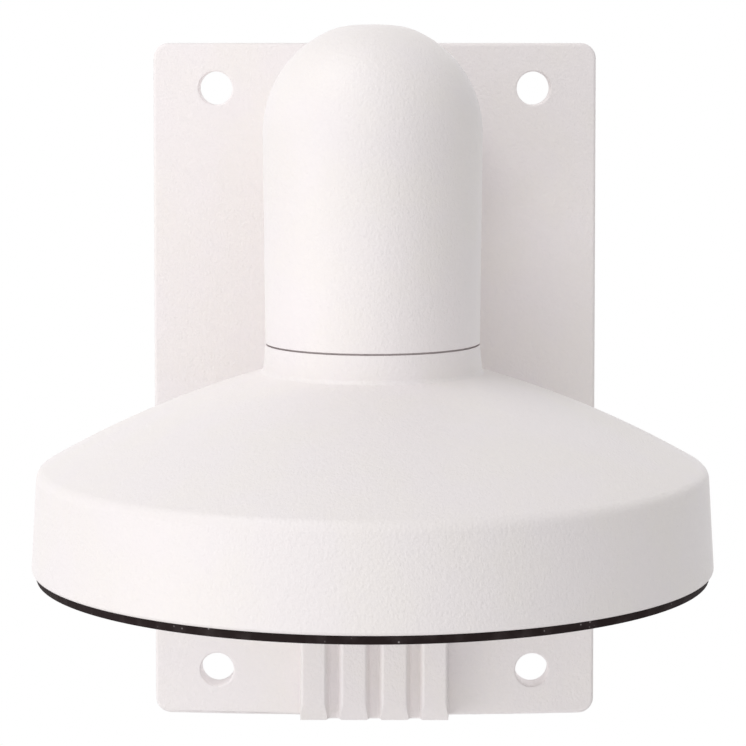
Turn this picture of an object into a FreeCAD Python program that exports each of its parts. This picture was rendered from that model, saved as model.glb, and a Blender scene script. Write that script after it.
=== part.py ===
import FreeCAD, Part
import math
import os
import re
import Sketcher

# Wall bracket for a dome camera. A die-cast bracket holds a wide round cap over the camera.
# Millimetres, +Z up, +Y towards the wall. The origin is on the wall, in the middle of the four wall holes.
# The cap turns onto the bracket's arm about an upright axis that stands axis_reach in front of the wall.

SIZES = {
    # how far a cut starts or ends outside the metal
    "overcut": 1.0,
    # wall plate: flat on the wall, its front slightly crowned from side to side
    "plate_width": 120.0,
    "plate_height": 183.5,
    "plate_edge_depth": 6.0,
    "plate_crown": 3.3,
    "plate_corner_radius": 4.2,
    "plate_edge_round": 0.9,
    "plate_skin": 3.2,
    "plate_rim": 4.0,
    # wall holes, measured from the plate's edges
    "hole_diameter": 9.1,
    "hole_from_side": 17.0,
    "hole_from_end": 12.25,
    "hole_boss_diameter": 17.0,
    "hole_edge_round": 0.4,
    # arm: an upright tube and a tapered arm that share one ball-shaped corner
    "ball_radius": 25.74,
    "seam_taper": 0.54,
    "root_flare": 0.95,
    "root_below_top": 5.15,
    "arm_rise": 10.85,
    "tube_length": 49.4,
    "root_overrun": 5.0,
    "elbow_fillet": 8.0,
    "root_fillet": 3.0,
    "crown_radius": 60.0,
    "crown_drop": 0.65,
    "crown_reach": 12.0,
    "crown_blend": 15.0,
    # cable way through the arm
    "ball_wall": 6.85,
    "root_wall": 4.6,
    "socket_step": 1.5,
    "way_lip": 4.2,
    # ribbed spine below the arm, with the cable channel behind it
    "rib_count": 4,
    "rib_width": 7.0,
    "rib_gap": 4.0,
    "rib_gap_depth": 2.6,
    "rib_gap_slope": 0.8,
    "rib_edge_round": 0.9,
    "rib_gap_round": 0.7,
    "spine_side_slope": 0.5,
    "spine_proud": 6.2,
    "spine_end_rise": 5.0,
    "spine_end_set": 0.9,
    "rib_foot_round": 0.6,
    "channel_width": 30.0,
    "channel_skin": 2.5,
    "channel_wall": 3.0,
    # threaded joint between arm and cap, drawn plain at its outer diameter
    "tube_wall": 4.45,
    "spigot_length": 14.0,
    "spigot_play": 0.05,
    "spigot_end_gap": 1.2,
    "spigot_chamfer": 1.2,
    "spigot_wall": 3.5,
    "seam_gap": 0.45,
    "seam_depth": 0.9,
    # cap: collar, cone and skirt
    "cap_clearance": 10.55,
    "collar_height": 6.8,
    "collar_flare": 0.6,
    "collar_fillet": 1.0,
    "cone_width": 52.85,
    "cone_fall": 22.63,
    "cone_arc_radius": 237.0,
    "shoulder_fillet": 3.0,
    "skirt_height": 23.0,
    "skirt_flare": 1.3,
    "rim_wall": 4.85,
    "rim_edge_round": 0.7,
    "roof_inset": 0.6,
    "roof_drop": 3.8,
    "roof_fillet": 5.0,
    "cap_way_round": 2.5,
    # screw bosses under the cap that carry the camera
    "boss_count": 3,
    "boss_inset": 9.1,
    "boss_radius": 4.6,
    "boss_drop": 1.0,
    "boss_rib_width": 2.6,
    "boss_rib_rise": 8.9,
    "boss_rib_bite": 0.8,
    "boss_bore_radius": 1.65,
    "boss_bore_depth": 12.0,
    # rim gasket
    "gasket_inset": 1.1,
    "gasket_width": 3.5,
    "gasket_depth": 2.0,
    "gasket_edge_round": 0.4,
    "tongue_width": 1.8,
    "tongue_depth": 1.5,
    "tongue_play": 0.1,
    # locking screw in the back of the upright tube
    "lock_rise": 7.2,
    "lock_radius": 2.5,
    "lock_play": 0.05,
    "lock_sunk": 0.6,
    "lock_groove_depth": 0.8,
    "lock_groove_width": 6.4,
    "lock_point_chamfer": 0.7,
    "lock_end_chamfer": 0.3,
    "lock_socket_width": 2.5,
    "lock_socket_depth": 2.2,
}

# Sizes that follow from the others.
# The heights hang from the plate's top: root, ball, seam, collar, shoulder, rim.
DERIVED = {
    "front_depth": "plate_edge_depth + plate_crown",
    "crown_arc": "((plate_width / 2) ^ 2 + plate_crown ^ 2) / (2 * plate_crown)",
    "hole_across": "plate_width / 2 - hole_from_side",
    "hole_up": "plate_height / 2 - hole_from_end",
    "seam_radius": "ball_radius - seam_taper",
    "root_radius": "ball_radius + root_flare",
    "root_height": "plate_height / 2 - root_radius - root_below_top",
    "ball_height": "root_height + arm_rise",
    "seam_height": "ball_height - tube_length",
    "spigot_radius": "seam_radius - tube_wall",
    "cap_way_radius": "spigot_radius - spigot_wall",
    "collar_base_height": "seam_height - collar_height",
    "collar_base_radius": "seam_radius + collar_flare",
    "shoulder_radius": "collar_base_radius + cone_width",
    "shoulder_height": "collar_base_height - cone_fall",
    "rim_radius": "shoulder_radius + skirt_flare",
    "rim_height": "shoulder_height - skirt_height",
    "rim_inner_radius": "rim_radius - rim_wall",
    "roof_inner_radius": "rim_inner_radius - roof_inset",
    "boss_circle_radius": "rim_inner_radius - boss_inset",
    "gasket_radius": "rim_radius - gasket_inset",
    "axis_reach": "rim_radius + cap_clearance + front_depth + spine_proud",
    "way_ball_radius": "ball_radius - ball_wall",
    "way_root_radius": "root_radius - root_wall",
    "way_seam_radius": "spigot_radius - socket_step",
    "channel_depth": "front_depth + spine_proud - rib_gap_depth - channel_skin",
    "lock_height": "seam_height + lock_rise",
}

document = FreeCAD.newDocument("camera_wall_bracket")
sheet = document.addObject("Spreadsheet::Sheet", "sizes")
cells = [(alias, str(size)) for alias, size in SIZES.items()]
cells += [(alias, f"={formula}") for alias, formula in DERIVED.items()]
for row, (alias, cell) in enumerate(cells, 1):
    sheet.set(f"A{row}", alias)
    sheet.setAlias(f"B{row}", alias)
    sheet.set(f"B{row}", cell)
document.recompute()
names = {alias for alias, cell in cells}


def bound(formula):
    """A formula in the sheet's names, written the way the document reads it."""
    return re.sub(r"[A-Za-z]\w*", lambda word: f"sizes.{word[0]}" if word[0] in names else word[0], formula)


def worth(formula):
    """The number that a formula gives now."""
    number = sheet.evalExpression(bound(formula))
    return float(getattr(number, "Value", number))


def new_body(name):
    body = document.addObject("PartDesign::Body", name)
    body.Label = name
    return body


def new_sketch(body, plane, name, offset=(None, None, None), turn=None):
    """A sketch on one of the body's origin planes, moved and turned in that plane by formulas."""
    sketch = body.newObject("Sketcher::SketchObject", name)
    support = [item for item in body.Origin.OriginFeatures if item.Role == plane]
    sketch.AttachmentSupport = [(support[0], "")]
    sketch.MapMode = "FlatFace"
    place = FreeCAD.Vector(*(worth(formula) if formula else 0.0 for formula in offset))
    angle = worth(turn) if turn else 0.0
    sketch.AttachmentOffset = FreeCAD.Placement(place, FreeCAD.Rotation(FreeCAD.Vector(0, 0, 1), angle))
    for axis, formula in zip("xyz", offset):
        if formula:
            sketch.setExpression(f"AttachmentOffset.Base.{axis}", bound(formula))
    if turn:
        sketch.setExpression("AttachmentOffset.Rotation.Angle", bound(turn))
    return sketch


def hold(sketch, kind, *where, formula=None):
    """Adds one constraint, with its size bound to the sheet where it has one."""
    if formula is None:
        return sketch.addConstraint(Sketcher.Constraint(kind, *where))
    number = sketch.addConstraint(Sketcher.Constraint(kind, *where, worth(formula)))
    sketch.setExpression(f"Constraints[{number}]", bound(formula))
    return number


def arc_between(start, end, radius, side):
    """The shorter arc between two points, with its centre to the left (1) or right (-1) of the way along."""
    chord = end.sub(start)
    middle = start.add(end).multiply(0.5)
    left = FreeCAD.Vector(-chord.y, chord.x, 0).normalize()
    rise = radius - math.sqrt(max(radius ** 2 - (chord.Length / 2) ** 2, 0.0))
    middle = middle.sub(left.multiply(side * rise))
    return Part.Arc(start, middle, end) if side > 0 else Part.Arc(end, middle, start)


def draw_loop(sketch, corners):
    """A closed outline. Each corner is (x, y), or (x, y, radius, side) where an arc leads to it."""
    points = []
    for corner in corners:
        points.append(FreeCAD.Vector(worth(corner[0]), worth(corner[1]), 0))
    pieces = []
    for number, corner in enumerate(corners):
        start, end = points[number - 1], points[number]
        if len(corner) > 2:
            pieces.append(sketch.addGeometry(arc_between(start, end, worth(corner[2]), corner[3])))
        else:
            pieces.append(sketch.addGeometry(Part.LineSegment(start, end)))
    ends = []
    for number, piece in enumerate(pieces):
        curve = sketch.Geometry[piece]
        ends.append(2 if curve.EndPoint.isEqual(points[number], 1e-6) else 1)
    for number, piece in enumerate(pieces):
        following = (number + 1) % len(pieces)
        hold(sketch, "Coincident", piece, ends[number], pieces[following], 3 - ends[following])
    for number, corner in enumerate(corners):
        for kind, formula in zip(("DistanceX", "DistanceY"), corner[:2]):
            hold(sketch, kind, -1, 1, pieces[number], ends[number], formula=formula)
        if len(corner) > 2:
            hold(sketch, "Radius", pieces[number], formula=corner[2])
    return pieces


def draw_circle(sketch, across, up, radius):
    centre = FreeCAD.Vector(worth(across), worth(up), 0)
    circle = sketch.addGeometry(Part.Circle(centre, FreeCAD.Vector(0, 0, 1), worth(radius)))
    hold(sketch, "DistanceX", -1, 1, circle, 3, formula=across)
    hold(sketch, "DistanceY", -1, 1, circle, 3, formula=up)
    hold(sketch, "Radius", circle, formula=radius)
    return circle


def draw_ball_and_taper(sketch, ball, end_radius, length):
    """Half a ball on the sketch's origin with a straight taper tangent to it, along the level axis."""
    lean = math.asin((worth(end_radius) - worth(ball)) / worth(length))
    radius, reach, end = worth(ball), worth(length), worth(end_radius)
    touch = FreeCAD.Vector(-radius * math.sin(lean), radius * math.cos(lean), 0)
    turned = math.radians(135) + lean / 2
    middle = FreeCAD.Vector(radius * math.cos(turned), radius * math.sin(turned), 0)
    tip = FreeCAD.Vector(-radius, 0, 0)
    foot = FreeCAD.Vector(reach, 0, 0)
    corner = FreeCAD.Vector(reach, end, 0)
    cheek = sketch.addGeometry(Part.Arc(touch, middle, tip))
    axle = sketch.addGeometry(Part.LineSegment(tip, foot))
    face = sketch.addGeometry(Part.LineSegment(foot, corner))
    side = sketch.addGeometry(Part.LineSegment(corner, touch))
    near, far = (1, 2) if sketch.Geometry[cheek].StartPoint.isEqual(touch, 1e-6) else (2, 1)
    hold(sketch, "Coincident", cheek, 3, -1, 1)
    hold(sketch, "Coincident", cheek, far, axle, 1)
    hold(sketch, "Coincident", axle, 2, face, 1)
    hold(sketch, "Coincident", face, 2, side, 1)
    hold(sketch, "Tangent", side, 2, cheek, near)
    hold(sketch, "PointOnObject", axle, 1, -1)
    hold(sketch, "PointOnObject", axle, 2, -1)
    hold(sketch, "Vertical", face)
    hold(sketch, "Radius", cheek, formula=ball)
    hold(sketch, "DistanceX", -1, 1, axle, 2, formula=length)
    hold(sketch, "DistanceY", face, 1, face, 2, formula=end_radius)


def new_feature(body, kind, name, sketch, **settings):
    feature = body.newObject(f"PartDesign::{kind}", name)
    feature.Profile = sketch
    for setting, choice in settings.items():
        if isinstance(choice, str) and setting not in ("Type",):
            feature.setExpression(setting, bound(choice))
        else:
            setattr(feature, setting, choice)
    sketch.Visibility = False
    document.recompute()
    return feature


def spin(body, kind, name, sketch, axis):
    return new_feature(body, kind, name, sketch, ReferenceAxis=(sketch, [axis]), Angle=360.0)


def soften(body, kind, name, edge_test, size):
    """A fillet or chamfer on the edges of the body so far that pass the test."""
    base = body.Tip
    edges = [f"Edge{number}" for number, edge in enumerate(base.Shape.Edges, 1) if edge_test(edge)]
    feature = body.newObject(f"PartDesign::{kind}", name)
    feature.Base = (base, edges)
    feature.setExpression("Radius" if kind == "Fillet" else "Size", bound(size))
    document.recompute()
    return feature


def spread(edge):
    """The edge's ends of travel along X, Y and Z."""
    box = edge.BoundBox
    return box.XLength, box.YLength, box.ZLength


def near(first, second, margin=0.02):
    return abs(first - second) < margin


def is_ring(edge, radius, height):
    """True for a full level circle of this radius at this height."""
    box = edge.BoundBox
    level = box.ZLength < 0.02 and near(box.ZMin, height)
    return level and near(box.XLength, 2 * radius, 0.05) and near(box.YLength, 2 * radius, 0.05)


# Wall bracket

bracket = new_body("wall_bracket")

half_width = "plate_width / 2"

plate_section = new_sketch(bracket, "XY_Plane", "plate_section")
draw_loop(plate_section, [
    (f"-{half_width}", "0"),
    (f"-{half_width}", "-plate_edge_depth"),
    (half_width, "-plate_edge_depth", "crown_arc", 1),
    (half_width, "0"),
])
new_feature(bracket, "Pad", "plate", plate_section, Midplane=True, Length="plate_height")
soften(bracket, "Fillet", "plate_corners",
       lambda edge: spread(edge)[0] < 0.01 and spread(edge)[2] < 0.01, "plate_corner_radius")
soften(bracket, "Fillet", "plate_edge",
       lambda edge: edge.BoundBox.YMax < -worth("plate_edge_depth") + 0.7, "plate_edge_round")


def draw_wall_circles(sketch, radius):
    """A circle of this radius round each of the four wall holes."""
    for across in (-1, 1):
        for up in (-1, 1):
            draw_circle(sketch, f"{across} * hole_across", f"{up} * hole_up", radius)


def is_hole_mouth(edge):
    """The rim of a wall hole in the front of the plate."""
    across, deep, up = spread(edge)
    round_rim = near(across, worth("hole_diameter"), 0.1) and near(up, worth("hole_diameter"), 0.1)
    return round_rim and edge.BoundBox.YMax < -worth("plate_edge_depth")


wall_holes = new_sketch(bracket, "XZ_Plane", "wall_hole_circles")
draw_wall_circles(wall_holes, "hole_diameter / 2")
new_feature(bracket, "Pocket", "wall_holes", wall_holes, Type="ThroughAll", Midplane=True)
soften(bracket, "Fillet", "hole_mouths", is_hole_mouth, "hole_edge_round")

# Spine: flat ribs with sloping gaps between them, standing on the plate below the arm.
rib_pitch = "(rib_width + rib_gap)"
spine_half = "((rib_count * rib_width + (rib_count - 1) * rib_gap) / 2)"
spine_front = "(-front_depth - spine_proud)"
gap_front = f"({spine_front} + rib_gap_depth)"
plate_bottom = "(-plate_height / 2)"

spine_section = new_sketch(bracket, "XY_Plane", "spine_section", (None, None, plate_bottom))
spine_corners = [(f"-{spine_half} - spine_side_slope", "-plate_edge_depth / 2")]
for rib in range(int(worth("rib_count"))):
    left = f"-{spine_half} + {rib} * {rib_pitch}"
    right = f"{left} + rib_width"
    if rib:
        spine_corners.append((f"{left} - rib_gap_slope", gap_front))
    spine_corners += [(left, spine_front), (right, spine_front)]
    if rib < worth("rib_count") - 1:
        spine_corners.append((f"{right} + rib_gap_slope", gap_front))
spine_corners.append((f"{spine_half} + spine_side_slope", "-plate_edge_depth / 2"))
draw_loop(spine_section, spine_corners)
new_feature(bracket, "Pad", "spine", spine_section, Length=f"root_height - {plate_bottom}")


def is_rib_edge(formula):
    """An upright edge of the spine whose distance from the wall is the formula's."""
    def test(edge):
        across, deep, up = spread(edge)
        return across < 0.01 and deep < 0.01 and up > 20 and near(edge.BoundBox.YMin, worth(formula))
    return test


soften(bracket, "Fillet", "rib_edges", is_rib_edge(spine_front), "rib_edge_round")
soften(bracket, "Fillet", "rib_gaps", is_rib_edge(gap_front), "rib_gap_round")

# The ribs lean back towards their lower ends along a wide arc.
spine_end_arc = "((spine_end_rise ^ 2 + spine_end_set ^ 2) / (2 * spine_end_set))"
end_section = new_sketch(bracket, "YZ_Plane", "spine_end_section")
draw_loop(end_section, [
    (f"{spine_front} - overcut", f"{plate_bottom} - overcut"),
    (f"{spine_front} + spine_end_set", f"{plate_bottom} - overcut"),
    (f"{spine_front} + spine_end_set", plate_bottom),
    (spine_front, f"{plate_bottom} + spine_end_rise", spine_end_arc, -1),
    (f"{spine_front} - overcut", f"{plate_bottom} + spine_end_rise"),
])
new_feature(bracket, "Pocket", "spine_end", end_section, Midplane=True, Length="plate_width")


def is_rib_foot(edge):
    """An edge round the lower end of the spine, clear of the plate."""
    box = edge.BoundBox
    at_end = box.ZLength < 0.01 and near(box.ZMin, worth(plate_bottom))
    return at_end and box.YMax < -worth("front_depth + overcut")


soften(bracket, "Fillet", "rib_feet", is_rib_foot, "rib_foot_round")

# The arm leaves the wall a little lower than its corner and tapers towards it.
arm_run = "(sqrt(axis_reach ^ 2 + (ball_height - root_height) ^ 2) + root_overrun)"
arm_turn = "-atan((ball_height - root_height) / axis_reach)"
tube_run = "(ball_height - seam_height)"

arm_section = new_sketch(bracket, "YZ_Plane", "arm_section", ("-axis_reach", "ball_height", None), arm_turn)
draw_ball_and_taper(arm_section, "ball_radius", "root_radius", arm_run)
spin(bracket, "Revolution", "arm", arm_section, "H_Axis")

tube_section = new_sketch(bracket, "YZ_Plane", "tube_section", ("-axis_reach", "ball_height", None), "-90")
draw_ball_and_taper(tube_section, "ball_radius", "seam_radius", tube_run)
spin(bracket, "Revolution", "tube", tube_section, "H_Axis")

# The top of the ball is a little flatter than a true ball.
crown_top = "ball_height + ball_radius - crown_drop"
crown_fall = "(crown_radius - sqrt(crown_radius ^ 2 - crown_reach ^ 2))"
crown_section = new_sketch(bracket, "XZ_Plane", "crown_section", (None, crown_top, None))
draw_loop(crown_section, [
    ("crown_reach", f"-{crown_fall}"),
    ("-crown_reach", f"-{crown_fall}", "crown_radius", 1),
    ("-crown_reach", "crown_drop + overcut"),
    ("crown_reach", "crown_drop + overcut"),
])
new_feature(bracket, "Pocket", "crown", crown_section, Type="ThroughAll", Midplane=True)


def is_crown_edge(edge):
    """The rim of the flatter top of the ball."""
    on_top = edge.BoundBox.ZMin > worth("ball_height + ball_radius - 3 * crown_drop")
    return on_top and not edge.Degenerated


soften(bracket, "Fillet", "crown_rim", is_crown_edge, "crown_blend")

behind_wall = new_sketch(bracket, "XZ_Plane", "behind_wall")
draw_circle(behind_wall, "0", "root_height", "root_radius + plate_rim")
new_feature(bracket, "Pocket", "wall_face", behind_wall, Type="ThroughAll")


def is_elbow_corner(edge):
    """The curve where the underside of the arm meets the back of the tube."""
    box = edge.BoundBox
    ball_bottom = worth("ball_height - ball_radius")
    on_tube = box.YMax < -worth("axis_reach - 1.2 * ball_radius") and box.ZMin > worth("seam_height + 5")
    return on_tube and box.ZMin < ball_bottom and box.ZMax > ball_bottom + 5 and box.XLength > 5


def is_arm_root(edge):
    """The curve where the arm meets the crowned front of the plate."""
    box = edge.BoundBox
    in_front = box.YMax < -worth("plate_edge_depth") and box.YMin > -worth("front_depth + overcut")
    return in_front and box.XLength > worth("root_radius") * 0.5 and box.ZLength > worth("root_radius") * 0.5


soften(bracket, "Fillet", "elbow_corner", is_elbow_corner, "elbow_fillet")
soften(bracket, "Fillet", "arm_root", is_arm_root, "root_fillet")

# The back of the plate is hollow inside a rim, with a pad at each hole and walls around the cable way.
floor_arc = "(crown_arc - plate_skin)"
recess_half = f"({half_width} - plate_rim)"
recess_side = f"(crown_arc - front_depth - sqrt({floor_arc} ^ 2 - {recess_half} ^ 2))"
pad_edge = "(hole_across + hole_boss_diameter / 2)"
pad_depth = f"(front_depth - crown_arc + sqrt(crown_arc ^ 2 - {pad_edge} ^ 2) - plate_skin / 3)"

recess_section = new_sketch(bracket, "XY_Plane", "recess_section")
draw_loop(recess_section, [
    (f"-{recess_half}", "overcut"),
    (f"-{recess_half}", recess_side),
    (recess_half, recess_side, floor_arc, 1),
    (recess_half, "overcut"),
])
new_feature(bracket, "Pocket", "back_recess", recess_section,
            Midplane=True, Length="plate_height - 2 * plate_rim")

pads = new_sketch(bracket, "XZ_Plane", "hole_pads")
draw_wall_circles(pads, "hole_boss_diameter / 2")
draw_wall_circles(pads, "hole_diameter / 2")
new_feature(bracket, "Pad", "hole_bosses", pads, Length=pad_depth)

collar = new_sketch(bracket, "XZ_Plane", "way_collar")
draw_circle(collar, "0", "root_height", "way_root_radius + way_lip")
new_feature(bracket, "Pad", "way_collar_pad", collar, Length="front_depth - plate_skin / 2")

channel_half = "(channel_width / 2)"
walls = new_sketch(bracket, "XZ_Plane", "channel_walls")
draw_loop(walls, [
    (f"-{channel_half} - channel_wall", f"{plate_bottom} + plate_rim / 2"),
    (f"{channel_half} + channel_wall", f"{plate_bottom} + plate_rim / 2"),
    (f"{channel_half} + channel_wall", "root_height"),
    (f"-{channel_half} - channel_wall", "root_height"),
])
new_feature(bracket, "Pad", "channel_block", walls, Length="front_depth - plate_skin / 2")

# Cable way: down the tube, back through the arm to the wall, and down the channel behind the spine.
way_arm = new_sketch(bracket, "YZ_Plane", "way_arm_section", ("-axis_reach", "ball_height", None), arm_turn)
draw_ball_and_taper(way_arm, "way_ball_radius", "way_root_radius", arm_run)
spin(bracket, "Groove", "way_arm", way_arm, "H_Axis")

way_tube = new_sketch(bracket, "YZ_Plane", "way_tube_section", ("-axis_reach", "ball_height", None), "-90")
draw_ball_and_taper(way_tube, "way_ball_radius", "way_seam_radius", tube_run)
spin(bracket, "Groove", "way_tube", way_tube, "H_Axis")

channel = new_sketch(bracket, "XZ_Plane", "channel")
draw_loop(channel, [
    (f"-{channel_half}", f"{plate_bottom} - overcut"),
    (channel_half, f"{plate_bottom} - overcut"),
    (channel_half, "root_height"),
    (f"-{channel_half}", "root_height"),
])
new_feature(bracket, "Pocket", "cable_channel", channel, Length="channel_depth", Reversed=True)

# Socket for the cap's spigot
socket = new_sketch(bracket, "XY_Plane", "socket_ring", (None, "-axis_reach", "seam_height"))
draw_circle(socket, "0", "0", "spigot_radius + spigot_play")
new_feature(bracket, "Pocket", "spigot_socket", socket,
            Length="spigot_length + spigot_end_gap", Reversed=True)

# Hole for the locking screw, through the back of the tube
lock_plane = "axis_reach - spigot_radius + overcut"
lock_hole = new_sketch(bracket, "XZ_Plane", "lock_hole_circle", (None, None, lock_plane))
draw_circle(lock_hole, "0", "lock_height", "lock_radius + lock_play")
new_feature(bracket, "Pocket", "lock_hole", lock_hole, Length="ball_radius - spigot_radius + 2 * overcut")


# Camera cap: collar and spigot, shallow cone and skirt in one casting, turned about the upright axis

cap = new_body("camera_cap")

spigot_top = "(seam_height + spigot_length)"
cone_lift = "sqrt(cone_arc_radius ^ 2 / (cone_width ^ 2 + cone_fall ^ 2) - 1 / 4)"
cone_centre_radius = f"((collar_base_radius + shoulder_radius) / 2 - cone_fall * {cone_lift})"
cone_centre_height = f"((collar_base_height + shoulder_height) / 2 - cone_width * {cone_lift})"
tongue_middle = "(gasket_radius - gasket_width / 2)"
tongue_slot = "(tongue_width / 2 + tongue_play)"


def cone_height(radius, drop="0"):
    """Height of the cone's outer surface at this radius, less a drop."""
    rise = f"sqrt(cone_arc_radius ^ 2 - ({radius} - {cone_centre_radius}) ^ 2)"
    return f"({cone_centre_height} + {rise} - ({drop}))"


# The corner under the roof is rounded in the section itself, so that the ribs can cross it.
roof_slope = f"asin((roof_inner_radius - {cone_centre_radius}) / cone_arc_radius)"
corner_reach = f"(roof_fillet * tan((90 deg - {roof_slope}) / 2))"
corner_radius = f"(roof_inner_radius - {corner_reach} * cos({roof_slope}))"

cap_section = new_sketch(cap, "YZ_Plane", "cap_section", ("-axis_reach", None, None))
draw_loop(cap_section, [
    ("cap_way_radius", spigot_top),
    ("spigot_radius - spigot_chamfer", spigot_top),
    ("spigot_radius", f"{spigot_top} - spigot_chamfer"),
    ("spigot_radius", "lock_height + lock_groove_width / 2"),
    ("spigot_radius - lock_groove_depth", "lock_height + lock_groove_width / 2 - lock_groove_depth"),
    ("spigot_radius - lock_groove_depth", "lock_height - lock_groove_width / 2 + lock_groove_depth"),
    ("spigot_radius", "lock_height - lock_groove_width / 2"),
    ("spigot_radius", "seam_height"),
    ("seam_radius - seam_depth", "seam_height"),
    ("seam_radius - seam_depth", "seam_height - seam_gap"),
    ("seam_radius", "seam_height - seam_gap"),
    ("collar_base_radius", "collar_base_height"),
    ("shoulder_radius", "shoulder_height", "cone_arc_radius", -1),
    ("rim_radius", "rim_height"),
    (f"{tongue_middle} + {tongue_slot}", "rim_height"),
    (f"{tongue_middle} + {tongue_slot}", "rim_height + tongue_depth + tongue_play"),
    (f"{tongue_middle} - {tongue_slot}", "rim_height + tongue_depth + tongue_play"),
    (f"{tongue_middle} - {tongue_slot}", "rim_height"),
    ("rim_inner_radius", "rim_height"),
    ("roof_inner_radius", cone_height("roof_inner_radius", f"roof_drop + {corner_reach}")),
    (corner_radius, cone_height(corner_radius, "roof_drop"), "roof_fillet", 1),
    ("cap_way_radius", cone_height("cap_way_radius", "roof_drop"), "cone_arc_radius", 1),
])
spin(cap, "Revolution", "cap_shell", cap_section, "V_Axis")

# Screw bosses for the camera: the first at the front, the others turned round the axis from it
boss_face = new_sketch(cap, "XY_Plane", "boss_face", (None, "-axis_reach", "rim_height - boss_drop"))
draw_circle(boss_face, "0", "-boss_circle_radius", "boss_radius")
boss = new_feature(cap, "Pad", "boss", boss_face, Type="UpToFirst")

rib_end = "(rim_inner_radius + boss_rib_bite)"
rib_side = new_sketch(cap, "YZ_Plane", "boss_rib_side", ("-axis_reach", None, None))
draw_loop(rib_side, [
    ("-boss_circle_radius", "rim_height + boss_rib_rise"),
    (f"-{rib_end}", "rim_height + boss_rib_rise"),
    (f"-{rib_end}", cone_height(rib_end, "roof_drop / 2")),
    ("-boss_circle_radius", cone_height("boss_circle_radius", "roof_drop / 2")),
])
boss_rib = new_feature(cap, "Pad", "boss_rib", rib_side, Midplane=True, Length="boss_rib_width")

bore_circle = new_sketch(cap, "XY_Plane", "boss_bore_circle", (None, "-axis_reach", "rim_height - boss_drop"))
draw_circle(bore_circle, "0", "-boss_circle_radius", "boss_bore_radius")
boss_bore = new_feature(cap, "Pocket", "boss_bore", bore_circle, Length="boss_bore_depth", Reversed=True)

bosses = cap.newObject("PartDesign::PolarPattern", "bosses")
bosses.Originals = [boss, boss_rib, boss_bore]
bosses.Axis = (bore_circle, ["N_Axis"])
bosses.Angle = 360.0
bosses.setExpression("Occurrences", bound("boss_count"))
cap.Tip = bosses
document.recompute()


def soften_ring(name, radius, height, size):
    soften(cap, "Fillet", name, lambda edge: is_ring(edge, worth(radius), worth(height)), size)


soften_ring("shoulder", "shoulder_radius", "shoulder_height", "shoulder_fillet")
soften_ring("collar_base", "collar_base_radius", "collar_base_height", "collar_fillet")
soften_ring("rim_edge", "rim_radius", "rim_height", "rim_edge_round")
soften_ring("way_mouth", "cap_way_radius", cone_height("cap_way_radius", "roof_drop"), "cap_way_round")

# Rim gasket: a flat rubber ring with a tongue in the rim's groove

gasket = new_body("rim_gasket")
gasket_section = new_sketch(gasket, "YZ_Plane", "gasket_section", ("-axis_reach", None, None))
draw_loop(gasket_section, [
    ("gasket_radius", "rim_height"),
    ("gasket_radius", "rim_height - gasket_depth"),
    ("gasket_radius - gasket_width", "rim_height - gasket_depth"),
    ("gasket_radius - gasket_width", "rim_height"),
    (f"{tongue_middle} - tongue_width / 2", "rim_height"),
    (f"{tongue_middle} - tongue_width / 2", "rim_height + tongue_depth"),
    (f"{tongue_middle} + tongue_width / 2", "rim_height + tongue_depth"),
    (f"{tongue_middle} + tongue_width / 2", "rim_height"),
])
spin(gasket, "Revolution", "gasket_ring", gasket_section, "V_Axis")
soften(gasket, "Fillet", "gasket_edge",
       lambda edge: near(edge.BoundBox.ZMax, worth("rim_height - gasket_depth")), "gasket_edge_round")

# Locking screw: its point stands on the floor of the spigot's groove, its end is sunk in the tube

screw = new_body("locking_screw")
screw_point = "(spigot_radius - lock_groove_depth)"
screw_end = "(seam_radius - lock_sunk)"
screw_section = new_sketch(screw, "YZ_Plane", "screw_section", ("-axis_reach", "lock_height", None))
draw_loop(screw_section, [
    (screw_point, "0"),
    (screw_point, "lock_radius - lock_point_chamfer"),
    (f"{screw_point} + lock_point_chamfer", "lock_radius"),
    (f"{screw_end} - lock_end_chamfer", "lock_radius"),
    (screw_end, "lock_radius - lock_end_chamfer"),
    (screw_end, "0"),
])
spin(screw, "Revolution", "screw_body", screw_section, "H_Axis")

socket_face = new_sketch(screw, "XZ_Plane", "socket_face", (None, "lock_height", f"axis_reach - {screw_end}"))
hexagon = "lock_socket_width / sqrt(3)"
draw_loop(socket_face, [
    (f"{hexagon} * cos({60 * corner} deg)", f"{hexagon} * sin({60 * corner} deg)") for corner in range(6)
])
new_feature(screw, "Pocket", "hex_socket", socket_face, Length="lock_socket_depth", Reversed=True)

# Checks, then one file for each piece
document.recompute()
for item in document.Objects:
    if "Invalid" in item.State or "Error" in item.State:
        raise ValueError(f"{item.Label}: {item.State}")
os.makedirs("parts", exist_ok=True)
for body in (bracket, cap, gasket, screw):
    shape = body.Shape
    if shape.isNull() or not shape.isValid() or len(shape.Solids) != 1:
        raise ValueError(f"{body.Label} isn't one valid solid")
    shape.exportStep(f"parts/{body.Label}.step")
    box = shape.BoundBox
    size = f"{box.XLength:.1f} x {box.YLength:.1f} x {box.ZLength:.1f} mm"
    print(f"{body.Label}: {size}, {shape.Volume:.0f} mm3")
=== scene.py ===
import math

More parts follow.
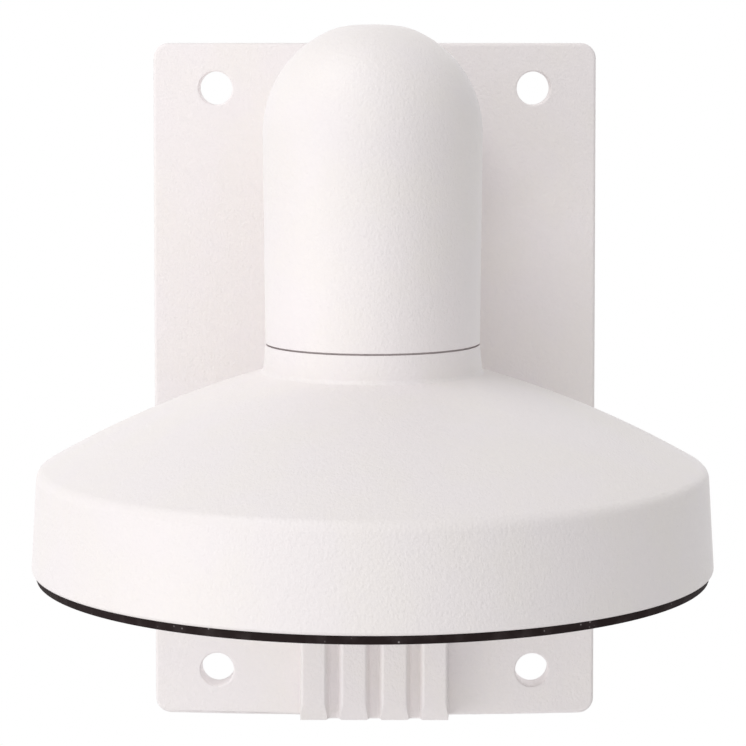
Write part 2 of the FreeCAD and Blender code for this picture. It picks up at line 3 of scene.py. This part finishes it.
import bpy
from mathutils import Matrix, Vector


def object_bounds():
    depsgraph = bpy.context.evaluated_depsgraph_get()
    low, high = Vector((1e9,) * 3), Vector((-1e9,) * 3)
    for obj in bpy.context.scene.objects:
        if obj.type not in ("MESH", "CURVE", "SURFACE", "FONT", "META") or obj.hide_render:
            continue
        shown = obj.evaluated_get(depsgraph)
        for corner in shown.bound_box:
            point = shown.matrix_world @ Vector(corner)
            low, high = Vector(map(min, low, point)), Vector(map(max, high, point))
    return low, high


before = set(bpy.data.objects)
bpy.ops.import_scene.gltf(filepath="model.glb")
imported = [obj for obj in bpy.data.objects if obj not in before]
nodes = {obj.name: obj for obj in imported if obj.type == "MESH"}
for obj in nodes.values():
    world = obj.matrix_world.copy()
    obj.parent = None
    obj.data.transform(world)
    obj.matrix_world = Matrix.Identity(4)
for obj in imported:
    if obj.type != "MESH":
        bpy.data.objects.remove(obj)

# A white powder-coated wall bracket whose arm turns down to a wide round cap.
# Metres, z up. The wall is the plane y = 0 and the cap hangs in front of it, towards -y.

cadBox = [list(corner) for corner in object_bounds()]
scene = bpy.context.scene
print("frame:", ", ".join(sorted(nodes)))


# shader trees

def addNode(tree, kind, settings=None, values=None, output=0):
    # the settings go first, then each input gets its value or its link
    made = tree.nodes.new(kind)
    for name, setting in (settings or {}).items():
        setattr(made, name, setting)
    for entry, value in (values or {}).items():
        if isinstance(value, Wire):
            tree.links.new(value.socket, made.inputs[entry])
        else:
            made.inputs[entry].default_value = value
    return Wire(made.outputs[output]) if len(made.outputs) else None


class Wire:
    # an output socket, with Math nodes for what is done to it
    def __init__(self, socket):
        self.socket = socket

    def maths(self, operation, first, second):
        return addNode(self.socket.id_data, "ShaderNodeMath", {"operation": operation}, {0: first, 1: second})

    def __add__(self, other):
        return self.maths("ADD", self, other)

    def __radd__(self, other):
        return self.maths("ADD", other, self)

    def __sub__(self, other):
        return self.maths("SUBTRACT", self, other)

    def __rsub__(self, other):
        return self.maths("SUBTRACT", other, self)

    def __mul__(self, other):
        return self.maths("MULTIPLY", self, other)

    def __rmul__(self, other):
        return self.maths("MULTIPLY", other, self)

    def larger(self, other):
        return self.maths("MAXIMUM", self, other)


def newTree(owner):
    owner.use_nodes = True
    owner.node_tree.nodes.clear()
    return owner.node_tree


def stretchBy(tree, place, factors):
    return addNode(tree, "ShaderNodeVectorMath", {"operation": "MULTIPLY"}, {0: place, 1: factors})


def alongAxis(tree, place, axis):
    return addNode(tree, "ShaderNodeVectorMath", {"operation": "DOT_PRODUCT"}, {0: place, 1: axis}, "Value")


def noise(tree, place, size, detail, rough=0.5):
    values = {"Vector": place, "Scale": 1.0 / size, "Detail": detail, "Roughness": rough}
    return addNode(tree, "ShaderNodeTexNoise", None, values)


def ease(tree, value, low, high):
    # smoothly from 0 at low to 1 at high, whichever of the two is larger
    values = {"Value": value, "From Min": low, "From Max": high}
    return addNode(tree, "ShaderNodeMapRange", {"interpolation_type": "SMOOTHSTEP"}, values)


def mixColour(tree, share, first, second):
    # entries 6 and 7 and output 2 of a Mix node are its colours
    return addNode(tree, "ShaderNodeMix", {"data_type": "RGBA"}, {0: share, 6: first, 7: second}, 2)


def relief(tree, height, metres, under=None):
    values = {"Strength": 1.0, "Distance": metres, "Height": height}
    if under:
        values["Normal"] = under
    return addNode(tree, "ShaderNodeBump", None, values)


def closeSurface(tree, values):
    surface = addNode(tree, "ShaderNodeBsdfPrincipled", None, values)
    addNode(tree, "ShaderNodeOutputMaterial", None, {"Surface": surface})


# the bracket's seam, with painted shade and dirt in its gap

seam = {
    "middle": (0.0, -0.106, 0.02113),  # on the tube's axis, halfway up the gap
    "innerRadius": 0.0240, "outerRadius": 0.0251, "halfHeight": 0.00026, "blend": 0.00008,
    # the darker colour for the gap is painted shade and dirt
    "shadeAndDirt": (0.66, 0.60, 0.60, 1.0),
}


def seamShadeShare(tree, place):
    # 1 inside the narrow gap between the tube's end and the cap's collar, which is darkened there with
    # painted shade and dirt
    offset = addNode(tree, "ShaderNodeVectorMath", {"operation": "SUBTRACT"}, {0: place, 1: seam["middle"]})
    level = stretchBy(tree, offset, (1.0, 1.0, 0.0))
    radius = addNode(tree, "ShaderNodeVectorMath", {"operation": "LENGTH"}, {0: level}, "Value")
    height = alongAxis(tree, offset, (0.0, 0.0, 1.0))
    distance = height.larger(height * -1.0)
    between = ease(tree, distance, seam["halfHeight"] + seam["blend"], seam["halfHeight"])
    outside = ease(tree, radius, seam["innerRadius"], seam["innerRadius"] + seam["blend"])
    inside = ease(tree, radius, seam["outerRadius"], seam["outerRadius"] - seam["blend"])
    return between * outside * inside


# white powder coat of the bracket and the cap

coat = {
    "colour": (0.87, 0.822, 0.824, 1.0), "warm": (0.872, 0.826, 0.810, 1.0), "cool": (0.84, 0.80, 0.81, 1.0),
    "patch": 0.018, "patchRange": (0.35, 0.65),  # slow change from the plain colour to the warm one
    "grain": 0.0011, "grainRange": (0.35, 0.75), "grainTint": 0.28,  # small spots of the cool colour
    "peel": 0.0008, "peelHeight": 0.00012, "fine": 0.0004, "fineHeight": 0.00007,  # the two bumps
    "upright": (1.0, 1.0, 0.6),  # under 1 makes the grain longer that way
    "roughness": 0.46, "roughSpread": 0.10, "gloss": 0.40,
}


def makePowderCoat():
    material = bpy.data.materials.new("powderCoat")
    tree = newTree(material)
    place = addNode(tree, "ShaderNodeTexCoord", output="Object")
    upright = stretchBy(tree, place, coat["upright"])
    patch = noise(tree, place, coat["patch"], detail=2.0)
    grain = noise(tree, upright, coat["grain"], detail=3.0, rough=0.6)
    peel = noise(tree, place, coat["peel"], detail=1.0)
    fine = noise(tree, upright, coat["fine"], detail=2.0)
    colour = mixColour(tree, ease(tree, patch, *coat["patchRange"]), coat["colour"], coat["warm"])
    colour = mixColour(tree, ease(tree, grain, *coat["grainRange"]) * coat["grainTint"], colour, coat["cool"])
    # painted shade and dirt in the seam's gap
    colour = mixColour(tree, seamShadeShare(tree, place), colour, seam["shadeAndDirt"])
    rough = coat["roughness"] + (peel - 0.5) * coat["roughSpread"] + (grain - 0.5) * coat["roughSpread"]
    skin = relief(tree, fine, coat["fineHeight"], relief(tree, peel, coat["peelHeight"]))
    closeSurface(tree, {
        "Base Color": colour, "Roughness": rough, "Normal": skin, "Specular IOR Level": coat["gloss"],
    })
    return material


# black rubber of the rim gasket

rubber = {
    "colour": (0.022, 0.015, 0.015, 1.0), "worn": (0.038, 0.029, 0.029, 1.0), "dust": (0.34, 0.31, 0.31, 1.0),
    "patch": 0.004, "wornRange": (0.4, 0.7),
    "speck": 0.0014, "speckRange": (0.22, 0.02), "dustyRange": (0.52, 0.62),  # pale specks, in patches
    "grain": 0.0005, "grainHeight": 0.00003,
    "roughness": 0.60, "roughSpread": 0.2, "gloss": 0.03,
}


def makeGasketRubber():
    material = bpy.data.materials.new("blackRubber")
    tree = newTree(material)
    place = addNode(tree, "ShaderNodeTexCoord", output="Object")
    patch = noise(tree, place, rubber["patch"], detail=3.0)
    grain = noise(tree, place, rubber["grain"], detail=2.0)
    cells = addNode(tree, "ShaderNodeTexVoronoi", None, {"Vector": place, "Scale": 1.0 / rubber["speck"]})
    dusty = ease(tree, noise(tree, place, rubber["patch"], detail=1.0), *rubber["dustyRange"])
    speck = ease(tree, cells, *rubber["speckRange"]) * dusty
    colour = mixColour(tree, ease(tree, patch, *rubber["wornRange"]), rubber["colour"], rubber["worn"])
    colour = mixColour(tree, speck, colour, rubber["dust"])
    rough = rubber["roughness"] + (patch - 0.5) * rubber["roughSpread"]
    closeSurface(tree, {
        "Base Color": colour, "Roughness": rough, "Normal": relief(tree, grain, rubber["grainHeight"]),
        "Specular IOR Level": rubber["gloss"],
    })
    return material


# zinc-plated steel of the locking screw

steel = {
    "colour": (0.56, 0.55, 0.53, 1.0), "stain": (0.42, 0.41, 0.40, 1.0),
    "patch": 0.002, "stainRange": (0.4, 0.7),
    "streak": 0.0004, "streakHeight": 0.000005, "turning": (1.0, 0.1, 1.0),  # turning marks, long along y
    "roughness": 0.32, "roughSpread": 0.25,
}


def makeScrewSteel():
    material = bpy.data.materials.new("platedSteel")
    tree = newTree(material)
    place = addNode(tree, "ShaderNodeTexCoord", output="Object")
    streak = noise(tree, stretchBy(tree, place, steel["turning"]), steel["streak"], detail=2.0)
    patch = noise(tree, place, steel["patch"], detail=3.0)
    colour = mixColour(tree, ease(tree, patch, *steel["stainRange"]), steel["colour"], steel["stain"])
    rough = steel["roughness"] + (streak - 0.5) * steel["roughSpread"]
    closeSurface(tree, {
        "Base Color": colour, "Metallic": 1.0, "Roughness": rough,
        "Normal": relief(tree, streak, steel["streakHeight"]),
    })
    return material


finishes = {"white_coat": makePowderCoat(), "black_rubber": makeGasketRubber(), "steel": makeScrewSteel()}
for node in nodes.values():
    for slot in node.material_slots:
        given = slot.material.name if slot.material else ""
        finish = next((finishes[name] for name in finishes if given.startswith(name)), None)
        if finish:
            slot.material = finish
        else:
            print("no finish for", node.name, given)
print("materials done")


# floor, lamps and background

studio = {
    "floorDrop": 1.25, "floorSize": 4.6, "floorColour": (0.80, 0.80, 0.80, 1.0), "floorRoughness": 0.8,
    "lampDistance": 1.6, "lampSize": 1.1,
    # degrees to the side of the bracket's front, where minus is left, degrees up, and watts
    "lowLamp": (-66.0, -18.0, 7.8), "highLamp": (-60.0, 60.0, 10.0),
    "backdrop": 1.80, "front": 1.17,  # soft light from behind and from in front, least at the sides
}


def makeFloor():
    half = studio["floorSize"] / 2
    corners = [(-half, -half, 0), (half, -half, 0), (half, half, 0), (-half, half, 0)]
    sheet = bpy.data.meshes.new("studioFloor")
    sheet.from_pydata(corners, [], [(0, 1, 2, 3)])
    floor = bpy.data.objects.new("studioFloor", sheet)
    floor.location = (0, 0, -studio["floorDrop"])
    material = bpy.data.materials.new("floorPaint")
    paint = {"Base Color": studio["floorColour"], "Roughness": studio["floorRoughness"]}
    closeSurface(newTree(material), paint)
    sheet.materials.append(material)
    scene.collection.objects.link(floor)


def makeLamp(name, target):
    side, rise, power = studio[name]
    turn, lift = math.radians(side), math.radians(rise)
    away = Vector((math.sin(turn) * math.cos(lift), -math.cos(turn) * math.cos(lift), math.sin(lift)))
    light = bpy.data.lights.new(name, "AREA")
    light.shape = "DISK"
    light.size = studio["lampSize"]
    light.energy = power
    lamp = bpy.data.objects.new(name, light)
    lamp.location = target + away * studio["lampDistance"]
    lamp.rotation_euler = away.to_track_quat("Z", "Y").to_euler()
    lamp.visible_camera = False
    scene.collection.objects.link(lamp)


def makeWorld():
    world = bpy.data.worlds.new("studio")
    scene.world = world
    tree = newTree(world)
    # the background itself is plain white, also where gloss shows it
    seen = addNode(tree, "ShaderNodeLightPath", output="Is Camera Ray")
    for ray in ("Is Glossy Ray", "Is Transmission Ray"):
        seen = seen.larger(addNode(tree, "ShaderNodeLightPath", output=ray))
    behind = alongAxis(tree, addNode(tree, "ShaderNodeTexCoord", output="Generated"), (0.0, 1.0, 0.0))
    soft = (behind * studio["backdrop"]).larger(behind * -studio["front"])
    strength = soft + (1.0 - soft) * seen
    light = addNode(tree, "ShaderNodeBackground", None, {"Color": (1.0, 1.0, 1.0, 1.0), "Strength": strength})
    addNode(tree, "ShaderNodeOutputWorld", None, {"Surface": light})


middle = (Vector(cadBox[0]) + Vector(cadBox[1])) / 2
makeFloor()
makeLamp("lowLamp", middle)
makeLamp("highLamp", middle)
makeWorld()
scene.view_settings.view_transform = "Standard"
print("floor, lamps and background done")


# the photograph's view

view = {
    "place": (0.0031, -0.736, 0.0902), "dip": 3.0, "turn": 0.275,  # degrees down, and to the left
    "lens": 129.85, "sensor": 36.0,  # millimetres
    "rise": -0.2457,  # lens shift, as a share of the picture's width
}

optics = bpy.data.cameras.new("camera")
optics.lens = view["lens"]
optics.sensor_width = view["sensor"]
optics.shift_y = view["rise"]
camera = bpy.data.objects.new("camera", optics)
camera.location = view["place"]
camera.rotation_euler = (math.radians(90.0 - view["dip"]), 0.0, math.radians(view["turn"]))
scene.collection.objects.link(camera)
bpy.context.scene.camera = camera
print("camera done")


bpy.context.view_layer.update()
